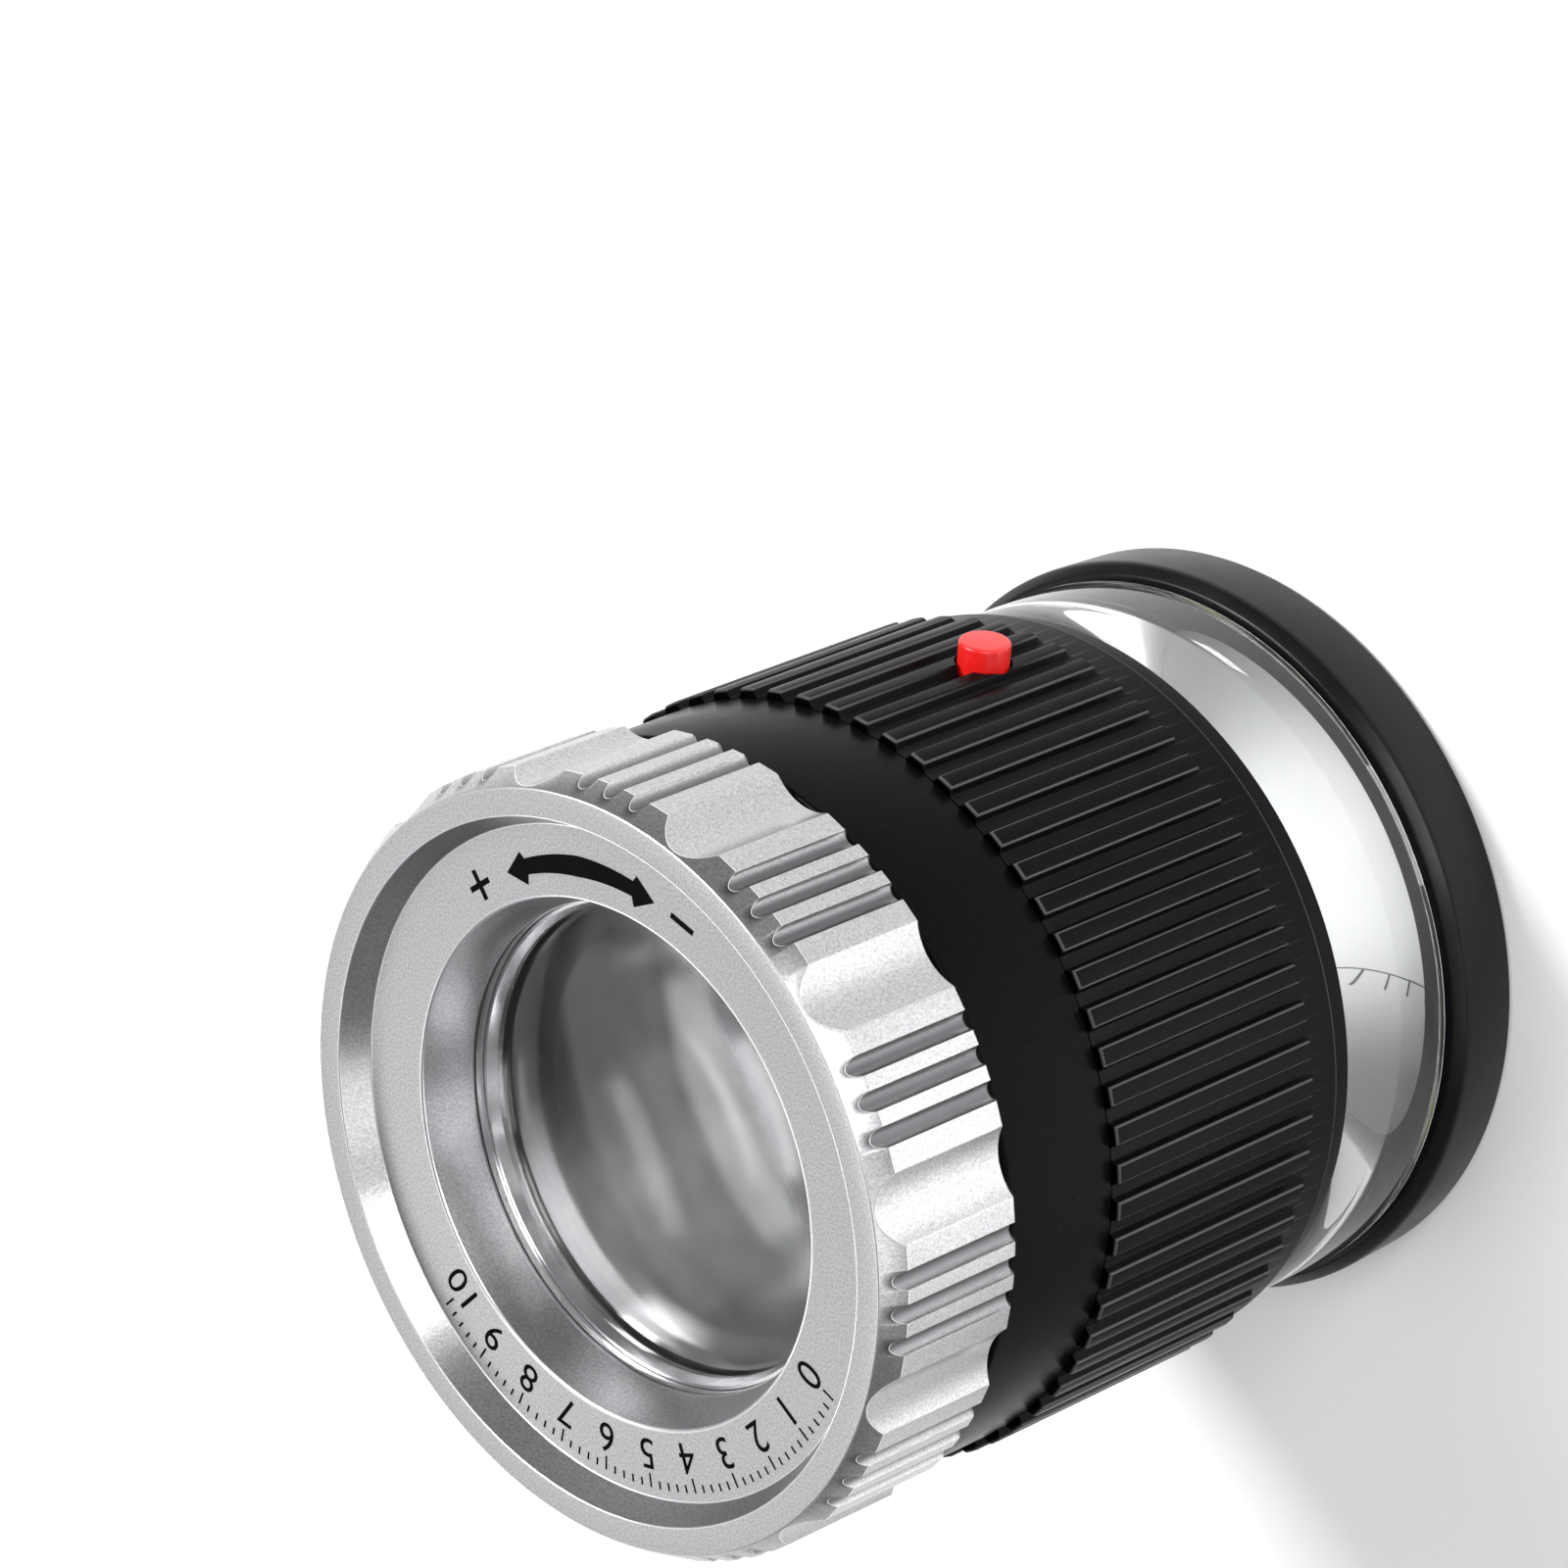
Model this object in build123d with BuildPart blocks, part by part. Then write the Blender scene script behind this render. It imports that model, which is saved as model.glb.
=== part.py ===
from build123d import *
import os
from math import cos, radians, sin, sqrt

os.makedirs("parts", exist_ok=True)

# Illuminated measuring loupe standing on its base. Millimetres.
# +Z runs up the optical axis to the eyepiece, the origin is the centre of the base's underside,
# and the light button faces -Y. The focus ring is turned fully down.

# ---- driving dimensions -------------------------------------------------------------------------
overall_height = 55.2
run_gap = 0.05              # radial clearance of every running fit
focus_travel = 5.0          # how far the eyepiece rises in one sweep of the focus ring

# base ring and reticle
base_r = 23.5
base_shoulder_r = 23.7
base_height = 5.0
base_window_r = 17.0
reticle_r = 19.6
reticle_step_z = 0.4        # the base ring's lip holds the reticle by this step
reticle_top_z = 2.2

# clear skirt
skirt_r = 22.7
skirt_bore_r = 18.4
skirt_spigot_r = 21.2
skirt_top_z = 17.0

# ribbed housing
flange_bottom_z = 14.6
flange_line_z = 16.3
rib_start_z = 18.6
rib_end_z = 36.1
rib_r = 24.0
rib_root_r = 23.4
rib_count = 64
housing_bore_r = 22.0
skirt_thread_r = 21.45

# light board and battery holder
board_bottom_z = 18.2
board_top_z = 19.4
board_bore_r = 15.3
holder_top_z = 32.6
cell_r = 5.8                # LR1130 button cell, 11.6 mm across
cell_thick = 3.1
cell_inner_x = 17.95
cell_angles = [30, 90, 150]
screw_angles = [60, 180, 300]
led_count = 6
led_r = 16.6

# light button
button_z = 24.4
button_r = 1.58
button_face_r = 25.4
button_travel = 1.0

# collar and focus thread
collar_r = 23.4
collar_top_z = 44.7
guide_tube_r = 21.4
guide_tube_top_z = 50.0
focus_thread_r = 20.2

# focus ring
ring_r = 24.1
ring_bottom_z = collar_top_z + run_gap
ring_bore_r = 21.5
ring_chamfer_z = 53.7
rim_outer_r = 23.2
rim_inner_r = 21.5
dial_outer_r = 20.6
dial_inner_r = 16.15
dial_z = 53.4
eye_bore_r = 15.1
eye_bore_z = 50.3
plate_under_z = 51.0
scallop_count = 12
scallop_width = 4.2
scallop_depth = 0.8
scallop_start_angle = 17.3
flute_width = 1.2
flute_depth = 0.5
flute_step_angle = 5.0

# lens carriage
cell_tube_r = 16.6
cell_tube_bore_r = 15.05
cell_tube_top_z = 50.0
cell_tube_bottom_z = 24.5
lens_r = 15.0
lens_seat_r = 14.3          # the polished faces end here, on a flat seat
lens_clear_r = 14.5
guide_pin_z = 26.6
guide_pin_r = 0.9
snap_ring_z = 44.0


def finish(builder, name):
    """Label a finished piece and write it as its own STEP file."""
    builder.part.label = name
    export_step(builder.part, f"parts/{name}.step")


def radial_plane(angle):
    """A plane through the origin facing outward at this angle about +Z, with its Y axis up."""
    outward = (cos(radians(angle)), sin(radians(angle)), 0)
    sideways = (-sin(radians(angle)), cos(radians(angle)), 0)
    return Plane(origin=(0, 0, 0), x_dir=sideways, z_dir=outward)


def ring_profile(r_in, r_out, z_low, z_high):
    """Add the rectangular half-section of a plain ring to the sketch on the XZ plane."""
    with Locations(((r_in + r_out) / 2, (z_low + z_high) / 2)):
        Rectangle(r_out - r_in, z_high - z_low)


def plain_ring(r_in, r_out, z_low, z_high):
    """A plain ring about the optical axis, as a part builder."""
    with BuildPart() as ring:
        with BuildSketch(Plane.XZ):
            ring_profile(r_in, r_out, z_low, z_high)
        revolve(axis=Axis.Z)
    return ring


def groove_radius(width, depth):
    """Radius of a round cutter that leaves a groove of this width and depth in the focus ring."""
    crown = ring_r - sqrt(ring_r**2 - (width / 2) ** 2)
    sagitta = depth - crown
    return ((width / 2) ** 2 + sagitta**2) / (2 * sagitta)


# ---- base ring: holds the reticle and screws on the clear skirt ----------------------------------
shoulder_round = 0.7

with BuildPart() as base_ring:
    with BuildSketch(Plane.XZ):
        with BuildLine():
            Polyline(
                (base_window_r, 0),
                (base_r, 0),
                (base_shoulder_r, base_height - shoulder_round),
                (base_shoulder_r - shoulder_round, base_height),
                (skirt_spigot_r + run_gap, base_height),
                (skirt_spigot_r + run_gap, 1.5),
                (reticle_r + run_gap, 1.5),
                (reticle_r + run_gap, reticle_step_z),
                (base_window_r, reticle_step_z),
                close=True,
            )
        make_face()
    revolve(axis=Axis.Z)
    outer_edges = base_ring.edges().filter_by(GeomType.CIRCLE).sort_by(SortBy.RADIUS)
    fillet(outer_edges[-1], 0.5)
    foot_edge = base_ring.edges().filter_by(GeomType.CIRCLE).group_by(Axis.Z)[0].sort_by(SortBy.RADIUS)[-1]
    fillet(foot_edge, 0.3)
finish(base_ring, "base_ring")

# ---- reticle: a stepped glass disc whose scale face lies flush on the work ------------------------
with BuildPart() as reticle_disc:
    with BuildSketch(Plane.XY):
        Circle(base_window_r - run_gap)
    extrude(amount=reticle_step_z)
    with BuildSketch(Plane.XY.offset(reticle_step_z)):
        Circle(reticle_r)
    extrude(amount=reticle_top_z - reticle_step_z)
finish(reticle_disc, "reticle_disc")

spacer_top_z = 3.55
reticle_retainer = plain_ring(17.2, reticle_r, reticle_top_z, spacer_top_z)
finish(reticle_retainer, "reticle_retainer")

# ---- clear skirt: one thick acrylic ring that lights and stands over the work --------------------
with BuildPart() as clear_skirt:
    with BuildSketch(Plane.XZ):
        with BuildLine():
            Polyline(
                (skirt_bore_r, spacer_top_z),
                (reticle_r + 0.15, spacer_top_z),
                (reticle_r + 0.15, 1.6),
                (skirt_spigot_r, 1.6),
                (skirt_spigot_r, base_height + run_gap),
                (skirt_r - 0.3, base_height + run_gap),
                (skirt_r, base_height + 0.4),
                (skirt_r, flange_bottom_z - run_gap),
                (guide_tube_r, flange_bottom_z - run_gap),
                (guide_tube_r, skirt_top_z),
                (skirt_bore_r, skirt_top_z),
                close=True,
            )
        make_face()
    revolve(axis=Axis.Z)
finish(clear_skirt, "clear_skirt")

# ---- ribbed housing: the grip, with the button's hole ------------------------------------------
groove_top_width = 1.3
groove_floor_width = 0.8

with BuildPart() as ribbed_housing:
    with BuildSketch(Plane.XZ):
        with BuildLine():
            Polyline(
                (skirt_thread_r, flange_bottom_z),
                (22.9, flange_bottom_z),
                (rib_root_r - 0.1, flange_line_z - 0.1),
                (rib_root_r, flange_line_z),
                (rib_root_r, rib_start_z),
                (rib_r, rib_start_z),
                (rib_r, rib_end_z),
                (housing_bore_r, rib_end_z),
                (housing_bore_r, board_bottom_z),
                (skirt_thread_r, board_bottom_z),
                close=True,
            )
        make_face()
    revolve(axis=Axis.Z)
    with BuildSketch(Plane.XY.offset(rib_start_z)):
        with PolarLocations(0, rib_count, start_angle=-90):
            Polygon(
                (rib_root_r, -groove_floor_width / 2),
                (rib_r + 0.1, -groove_top_width / 2),
                (rib_r + 0.1, groove_top_width / 2),
                (rib_root_r, groove_floor_width / 2),
                align=None,
            )
    extrude(amount=rib_end_z - rib_start_z, mode=Mode.SUBTRACT)
    with BuildSketch(Plane.XZ.offset(housing_bore_r - 1)):
        with Locations((0, button_z)):
            Circle(button_r + 0.17)
    extrude(amount=4, mode=Mode.SUBTRACT)
finish(ribbed_housing, "ribbed_housing")

# ---- light board with its LEDs, chips and screws -----------------------------------------------
screw_circle_r = 19.6

with BuildPart() as light_board:
    with BuildSketch(Plane.XY.offset(board_bottom_z)):
        Circle(housing_bore_r - 0.1)
        Circle(board_bore_r, mode=Mode.SUBTRACT)
        with PolarLocations(screw_circle_r, 3, start_angle=screw_angles[0]):
            Circle(0.85, mode=Mode.SUBTRACT)
    extrude(amount=board_top_z - board_bottom_z)
finish(light_board, "light_board")

led_height = 1.6
led_size = 2.4
with BuildPart() as leds:
    with BuildSketch(Plane.XY.offset(board_bottom_z - led_height)):
        with PolarLocations(led_r, led_count, start_angle=30):
            Rectangle(led_size, 3.0)
    extrude(amount=led_height)
    chamfer(leds.faces().group_by(Axis.Z)[0].edges(), 0.2)
finish(leds, "leds")

with BuildPart() as board_chips:
    with BuildSketch(Plane.XY.offset(board_bottom_z - 0.5)):
        with PolarLocations(led_r, led_count, start_angle=0):
            Rectangle(0.9, 1.8)
    extrude(amount=0.5)
finish(board_chips, "board_chips")

with BuildPart() as board_screws:
    with BuildSketch(Plane.XY.offset(board_bottom_z - 1.0)):
        with PolarLocations(screw_circle_r, 3, start_angle=screw_angles[0]):
            Circle(1.4)
    extrude(amount=1.0)
    with BuildSketch(Plane.XY.offset(board_bottom_z)):
        with PolarLocations(screw_circle_r, 3, start_angle=screw_angles[0]):
            Circle(0.8)
    extrude(amount=5.0)
    with BuildSketch(Plane.XY.offset(board_bottom_z - 1.0)):
        with PolarLocations(screw_circle_r, 3, start_angle=screw_angles[0]):
            Rectangle(0.3, 1.8)
            Rectangle(1.8, 0.3)
    extrude(amount=0.5, mode=Mode.SUBTRACT)
finish(board_screws, "board_screws")

# ---- battery holder with three cells standing on edge -------------------------------------------
holder_bore_r = 17.45
cell_center_z = 26.2
cell_outer_x = cell_inner_x + cell_thick
contact_width = 3.0

with BuildPart() as battery_holder:
    with BuildSketch(Plane.XY.offset(board_top_z)):
        Circle(housing_bore_r - 0.1)
        Circle(holder_bore_r, mode=Mode.SUBTRACT)
    extrude(amount=holder_top_z - board_top_z)
    for angle in cell_angles:
        with BuildSketch(radial_plane(angle).offset(holder_bore_r - 1)):
            with Locations((0, cell_center_z)):
                Circle(cell_r + 0.1)
            with Locations((0, (board_top_z + cell_center_z) / 2)):
                Rectangle(contact_width + 0.4, cell_center_z - board_top_z)
        extrude(amount=7, mode=Mode.SUBTRACT)
    with BuildSketch(Plane.XZ.offset(holder_bore_r - 1)):
        with Locations((0, 24.0)):
            Rectangle(7.4, 9.2)
    extrude(amount=7, mode=Mode.SUBTRACT)
    with BuildSketch(Plane.XY.offset(board_top_z)):
        with PolarLocations(screw_circle_r, 3, start_angle=screw_angles[0]):
            Circle(0.8)
    extrude(amount=4.0, mode=Mode.SUBTRACT)
finish(battery_holder, "battery_holder")

contact_thick = 0.3
contact_top_z = 31.0
for index, angle in enumerate(cell_angles):
    with BuildPart() as battery_cell:
        with BuildSketch(radial_plane(angle).offset(cell_inner_x)):
            with Locations((0, cell_center_z)):
                Circle(cell_r - 0.5)
        extrude(amount=0.5)
        with BuildSketch(radial_plane(angle).offset(cell_inner_x + 0.5)):
            with Locations((0, cell_center_z)):
                Circle(cell_r)
        extrude(amount=cell_thick - 0.5)
    finish(battery_cell, f"battery_cell_{index + 1}")

with BuildPart() as battery_contacts:
    for angle in cell_angles:
        for face_x in (cell_inner_x - contact_thick, cell_outer_x):
            with BuildSketch(radial_plane(angle).offset(face_x)):
                with Locations((0, (board_top_z + contact_top_z) / 2)):
                    Rectangle(contact_width, contact_top_z - board_top_z)
            extrude(amount=contact_thick)
finish(battery_contacts, "battery_contacts")

# ---- light switch and its red button, pushed in along +Y -----------------------------------------
switch_back_y = 17.5
switch_face_y = 19.6
stem_r = 0.9

with BuildPart() as switch_body:
    with BuildSketch(Plane.XZ.offset(switch_back_y)):
        with Locations((0, button_z)):
            Rectangle(7.0, 7.8)
    extrude(amount=switch_face_y - switch_back_y)
    with BuildSketch(Plane.XZ.offset(switch_face_y)):
        with Locations((0, button_z)):
            Circle(stem_r + run_gap)
    extrude(amount=-(switch_face_y - switch_back_y - 0.25), mode=Mode.SUBTRACT)
finish(switch_body, "switch_body")

with BuildPart() as switch_pins:
    with BuildSketch(Plane.XY.offset(board_top_z)):
        with Locations((-2.5, -18.5), (0, -18.5), (2.5, -18.5)):
            Circle(0.35)
    extrude(amount=button_z - 3.9 - board_top_z)
finish(switch_pins, "switch_pins")

spring_solid = 0.4          # room for the closed coils when the button is pushed in
flange_inner_y = switch_face_y + button_travel + spring_solid
with BuildPart() as light_button:
    with BuildSketch(Plane.XZ.offset(flange_inner_y + 0.8)):
        with Locations((0, button_z)):
            Circle(button_r)
    extrude(amount=button_face_r - flange_inner_y - 0.8)
    fillet(light_button.faces().sort_by(Axis.Y)[0].edges(), 0.2)
    with BuildSketch(Plane.XZ.offset(flange_inner_y)):
        with Locations((0, button_z)):
            Circle(button_r + 0.5)
    extrude(amount=0.8)
    with BuildSketch(Plane.XZ.offset(switch_face_y - 0.7)):
        with Locations((0, button_z)):
            Circle(stem_r)
    extrude(amount=flange_inner_y - switch_face_y + 0.7)
finish(light_button, "light_button")

spring_wire_r = 0.12
spring_turns = 2.5
with BuildPart() as button_spring:
    end_gap = spring_wire_r + 0.06
    spring_length = flange_inner_y - switch_face_y - 2 * end_gap
    with BuildLine() as coil:
        Helix(
            pitch=spring_length / spring_turns,
            height=spring_length,
            radius=1.35,
            center=(0, -switch_face_y - end_gap, button_z),
            direction=(0, -1, 0),
        )
    with BuildSketch(Plane(origin=coil.line @ 0, z_dir=coil.line % 0)):
        Circle(spring_wire_r)
    sweep()
finish(button_spring, "button_spring")

# ---- guide sleeve: keeps the lens carriage from turning ---------------------------------------
sleeve_r = 17.4
slot_end_gap = 0.05

with BuildPart() as guide_sleeve:
    with BuildSketch(Plane.XZ):
        ring_profile(cell_tube_r + run_gap, sleeve_r, board_top_z, holder_top_z + 1.0)
        ring_profile(sleeve_r - 0.2, housing_bore_r - 0.1, holder_top_z, holder_top_z + 1.0)
    revolve(axis=Axis.Z)
    slot_low = guide_pin_z - guide_pin_r - slot_end_gap
    slot_high = guide_pin_z + focus_travel + guide_pin_r + slot_end_gap
    for angle in (0, 120, 240):
        with BuildSketch(radial_plane(angle).offset(cell_tube_r - 1)):
            with Locations((0, (slot_low + slot_high) / 2)):
                SlotOverall(slot_high - slot_low, 2 * (guide_pin_r + run_gap), rotation=90)
        extrude(amount=3, mode=Mode.SUBTRACT)
finish(guide_sleeve, "guide_sleeve")

# ---- collar: smooth black band, female focus thread and bare guide tube -----------------------
with BuildPart() as collar:
    with BuildSketch(Plane.XZ):
        with BuildLine():
            Polyline(
                (focus_thread_r + run_gap, holder_top_z + 1.0),
                (housing_bore_r - run_gap, holder_top_z + 1.0),
                (housing_bore_r - run_gap, rib_end_z),
                (collar_r, rib_end_z),
                (collar_r, collar_top_z - 0.25),
                (collar_r - 0.25, collar_top_z),
                (guide_tube_r, collar_top_z),
                (guide_tube_r, guide_tube_top_z),
                (focus_thread_r + run_gap, guide_tube_top_z),
                close=True,
            )
        make_face()
    revolve(axis=Axis.Z)
finish(collar, "collar")

# ---- focus ring: scalloped and fluted grip with the dial face ---------------------------------
with BuildPart() as focus_ring:
    with BuildSketch(Plane.XZ):
        with BuildLine():
            Polyline(
                (ring_bore_r, ring_bottom_z),
                (ring_r - 0.25, ring_bottom_z),
                (ring_r, ring_bottom_z + 0.25),
                (ring_r, ring_chamfer_z),
                (rim_outer_r, overall_height),
                (rim_inner_r, overall_height),
                (dial_outer_r, dial_z),
                (dial_inner_r, dial_z),
                (eye_bore_r, eye_bore_z),
                (eye_bore_r, cell_tube_top_z + 0.1),
                (cell_tube_r, cell_tube_top_z + 0.1),
                (cell_tube_r, plate_under_z),
                (ring_bore_r, plate_under_z),
                close=True,
            )
        make_face()
    revolve(axis=Axis.Z)
    scallop_r = groove_radius(scallop_width, scallop_depth)
    flute_r = groove_radius(flute_width, flute_depth)
    flute_circle_r = ring_r - flute_depth + flute_r
    half_period = 360 / scallop_count / 2
    with BuildSketch(Plane.XY.offset(ring_bottom_z)):
        with PolarLocations(ring_r - scallop_depth + scallop_r, scallop_count, start_angle=scallop_start_angle):
            Circle(scallop_r)
        for step in (-1, 0, 1):
            first_angle = scallop_start_angle + half_period + step * flute_step_angle
            with PolarLocations(flute_circle_r, scallop_count, start_angle=first_angle):
                Circle(flute_r)
    extrude(amount=overall_height - ring_bottom_z, mode=Mode.SUBTRACT)
finish(focus_ring, "focus_ring")

barrel_bottom_z = 37.5
groove_height = 1.0
with BuildPart() as focus_barrel:
    with BuildSketch(Plane.XZ):
        ring_profile(cell_tube_r + run_gap, focus_thread_r, barrel_bottom_z, plate_under_z)
        with Locations(((cell_tube_r + 17.7) / 2, snap_ring_z + groove_height / 2)):
            Rectangle(17.7 - cell_tube_r, groove_height, mode=Mode.SUBTRACT)
        with Locations((focus_thread_r - 0.35, 40.5)):
            Rectangle(0.7, groove_height, mode=Mode.SUBTRACT)
    revolve(axis=Axis.Z)
finish(focus_barrel, "focus_barrel")

friction_ring = plain_ring(focus_thread_r - 0.7, focus_thread_r, 40.05, 40.95)
finish(friction_ring, "friction_ring")

# ---- lens carriage: tube, guide pins and snap ring -----------------------------------------------
stack_bottom_z = 35.0
lip_bore_r = 13.8

with BuildPart() as lens_tube:
    with BuildSketch(Plane.XZ):
        ring_profile(cell_tube_bore_r, cell_tube_r, cell_tube_bottom_z, cell_tube_top_z)
        ring_profile(lip_bore_r, cell_tube_bore_r + 0.2, stack_bottom_z - 1.2, stack_bottom_z)
        with Locations((cell_tube_r - 0.35, snap_ring_z + groove_height / 2)):
            Rectangle(0.7, groove_height, mode=Mode.SUBTRACT)
    revolve(axis=Axis.Z)
    for angle in (0, 120, 240):
        with BuildSketch(radial_plane(angle).offset(cell_tube_bore_r - 1)):
            with Locations((0, guide_pin_z)):
                Circle(guide_pin_r)
        extrude(amount=4, mode=Mode.SUBTRACT)
finish(lens_tube, "lens_tube")

with BuildPart() as guide_pins:
    for angle in (0, 120, 240):
        with BuildSketch(radial_plane(angle).offset(cell_tube_bore_r + 0.05)):
            with Locations((0, guide_pin_z)):
                Circle(guide_pin_r)
        extrude(amount=sleeve_r - cell_tube_bore_r - 0.1)
finish(guide_pins, "guide_pins")

snap_gap_half_width = 3.0
with BuildPart() as snap_ring:
    with BuildSketch(Plane.XY.offset(snap_ring_z + 0.05)):
        Circle(17.6)
        Circle(15.95, mode=Mode.SUBTRACT)
        with Locations((17, 0)):
            Rectangle(4, 2 * snap_gap_half_width, mode=Mode.SUBTRACT)
    extrude(amount=groove_height - 0.1)
finish(snap_ring, "snap_ring")

# ---- optics, stacked upward from the tube's inner lip -------------------------------------------
flint_top_z = 37.0
crown_bottom_z = 37.0
crown_top_z = 40.4
eye_bottom_z = 45.4
eye_top_z = 48.4


def lens(z_low, z_high, sag_low, sag_high):
    """A round lens: edge from z_low to z_high, faces bulging outward by the two sags."""
    with BuildPart() as piece:
        with BuildSketch(Plane.XZ):
            with BuildLine():
                ThreePointArc((0, z_low - sag_low), face_point(z_low, -sag_low), (lens_seat_r, z_low))
                Polyline((lens_seat_r, z_low), (lens_r, z_low), (lens_r, z_high), (lens_seat_r, z_high))
                ThreePointArc((lens_seat_r, z_high), face_point(z_high, sag_high), (0, z_high + sag_high))
                Line((0, z_high + sag_high), (0, z_low - sag_low))
            make_face()
        revolve(axis=Axis.Z)
    return piece


def face_point(edge_z, sag):
    """A point half way out on a spherical face whose apex stands sag above its edge height."""
    curve_r = (lens_seat_r**2 + sag**2) / (2 * abs(sag))
    half_out = lens_seat_r / 2
    drop = curve_r - sqrt(curve_r**2 - half_out**2)
    return (half_out, edge_z + (abs(sag) - drop) * (1 if sag > 0 else -1))


eye_lens = lens(eye_bottom_z, eye_top_z, 1.6, 2.2)
finish(eye_lens, "eye_lens")

crown_lens = lens(crown_bottom_z + 0.02, crown_top_z, 1.0, 2.0)
finish(crown_lens, "crown_lens")

# the flint's upper face is hollow and follows the crown's lower face with a thin cement gap
flint_hollow = 1.0
flint_radius = (lens_seat_r**2 + flint_hollow**2) / (2 * flint_hollow)
with BuildPart() as flint_lens:
    with BuildSketch(Plane.XZ):
        with BuildLine():
            hollow_rise = flint_radius - sqrt(flint_radius**2 - (lens_seat_r / 2) ** 2)
            hollow_mid = (lens_seat_r / 2, flint_top_z - flint_hollow + hollow_rise)
            Polyline(
                (0, flint_top_z - flint_hollow),
                (0, stack_bottom_z),
                (lens_r, stack_bottom_z),
                (lens_r, flint_top_z),
                (lens_seat_r, flint_top_z),
            )
            ThreePointArc((lens_seat_r, flint_top_z), hollow_mid, (0, flint_top_z - flint_hollow))
        make_face()
    revolve(axis=Axis.Z)
finish(flint_lens, "flint_lens")

lens_spacer = plain_ring(lens_seat_r + 0.05, lens_r, crown_top_z, eye_bottom_z)
finish(lens_spacer, "lens_spacer")

with BuildPart() as eye_lens_retainer:
    with BuildSketch(Plane.XZ):
        with BuildLine():
            Polyline(
                (lens_clear_r, eye_top_z),
                (lens_r, eye_top_z),
                (lens_r, eye_top_z + 1.0),
                (lens_clear_r + 0.3, eye_top_z + 1.0),
                (lens_clear_r, eye_top_z + 0.4),
                close=True,
            )
        make_face()
    revolve(axis=Axis.Z)
finish(eye_lens_retainer, "eye_lens_retainer")
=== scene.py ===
import math

import bmesh
import bpy
from mathutils import Matrix, Quaternion, Vector


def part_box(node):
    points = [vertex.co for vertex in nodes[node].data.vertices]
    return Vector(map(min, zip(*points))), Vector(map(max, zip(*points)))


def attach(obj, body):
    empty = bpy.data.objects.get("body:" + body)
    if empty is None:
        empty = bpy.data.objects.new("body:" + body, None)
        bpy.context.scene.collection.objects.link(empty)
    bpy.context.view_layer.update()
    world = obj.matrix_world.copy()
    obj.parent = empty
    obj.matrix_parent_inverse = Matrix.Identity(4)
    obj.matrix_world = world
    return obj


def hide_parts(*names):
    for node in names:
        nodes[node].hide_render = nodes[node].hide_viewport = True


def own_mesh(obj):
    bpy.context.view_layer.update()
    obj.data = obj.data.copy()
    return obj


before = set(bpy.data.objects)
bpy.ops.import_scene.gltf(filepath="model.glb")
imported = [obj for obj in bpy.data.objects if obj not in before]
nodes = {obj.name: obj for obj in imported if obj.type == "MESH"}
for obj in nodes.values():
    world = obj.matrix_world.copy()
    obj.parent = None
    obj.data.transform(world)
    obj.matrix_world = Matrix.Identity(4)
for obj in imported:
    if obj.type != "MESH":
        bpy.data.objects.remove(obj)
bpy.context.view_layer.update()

MM = 0.001
RUN_GAP = 0.05              # clearance between neighbouring turned parts, in millimetres


def box_mm(node_name):
    """A node's lowest and highest corners at rest, in millimetres."""
    return [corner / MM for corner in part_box(node_name)]


RING_LOW, RING_HIGH = box_mm("focus_ring")
COLLAR_LOW, COLLAR_HIGH = box_mm("collar")
HOUSING_LOW, HOUSING_HIGH = box_mm("ribbed_housing")
SKIRT_LOW, SKIRT_HIGH = box_mm("clear_skirt")
LENS_LOW, LENS_HIGH = box_mm("eye_lens")
BUTTON_LOW, BUTTON_HIGH = box_mm("light_button")
SPRING_LOW, SPRING_HIGH = box_mm("button_spring")
BASE_HIGH = box_mm("base_ring")[1]
RETAINER_LOW = box_mm("eye_lens_retainer")[0]
BUTTON_Z = (BUTTON_LOW.z + BUTTON_HIGH.z) / 2

# ---- mesh helpers: everything round is a ring of columns, each an outline in (r, z) millimetres ----


def link_piece(name, mesh, material, body, replaced=()):
    """Put a finished mesh into the scene on its body."""
    piece = bpy.data.objects.new(name, mesh)
    bpy.context.scene.collection.objects.link(piece)
    mesh.materials.append(material)
    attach(piece, body)
    if replaced:
        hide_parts(*replaced)
    return piece


def smooth_mesh(name, points, faces, sharp_degrees=38):
    """A mesh from millimetre points, outward normals, smooth but for its real edges."""
    mesh = bpy.data.meshes.new(name)
    mesh.from_pydata([(x * MM, y * MM, z * MM) for x, y, z in points], [], faces)
    cleaner = bmesh.new()
    cleaner.from_mesh(mesh)
    bmesh.ops.recalc_face_normals(cleaner, faces=cleaner.faces)
    cleaner.to_mesh(mesh)
    cleaner.free()
    mesh.shade_smooth()
    mesh.set_sharp_from_angle(angle=math.radians(sharp_degrees))
    return mesh


CORNER_STEPS = 4
CORNER_REACH = 0.45         # a corner's arc takes at most this share of either side
TURNED_COLUMNS = 360


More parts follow.
